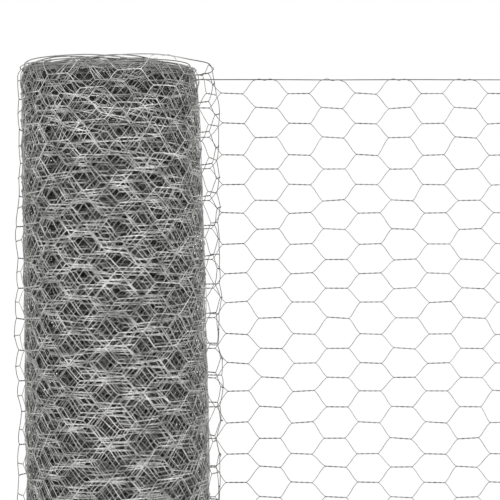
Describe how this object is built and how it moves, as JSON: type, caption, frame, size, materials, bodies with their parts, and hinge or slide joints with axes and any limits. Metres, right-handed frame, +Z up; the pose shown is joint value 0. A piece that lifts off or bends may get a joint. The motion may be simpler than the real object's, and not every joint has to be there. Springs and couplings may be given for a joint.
{
  "type": "roll of wire netting",
  "caption": "Roll of hexagonal wire netting standing on end, with its outer turn slack and its free end drawn out flat.",
  "frame": {"origin": "on the roll's axis, at the plane of its lower selvage, where the bore begins", "axes": "+Z up along the roll's axis, +X towards the drawn-out flat end, -Y towards the front of the roll"},
  "size_m": [0.8251, 0.2925, 0.9144],
  "materials": {
    "netting": "galvanised wire, dull grey with brighter sides"
  },
  "bodies": {
    "root": {"wound_turns": "netting", "slack_turn_front": "netting", "slack_turn_right": "netting", "flat_end_inner": "netting", "flat_end_outer": "netting"}
  },
  "joints": []
}
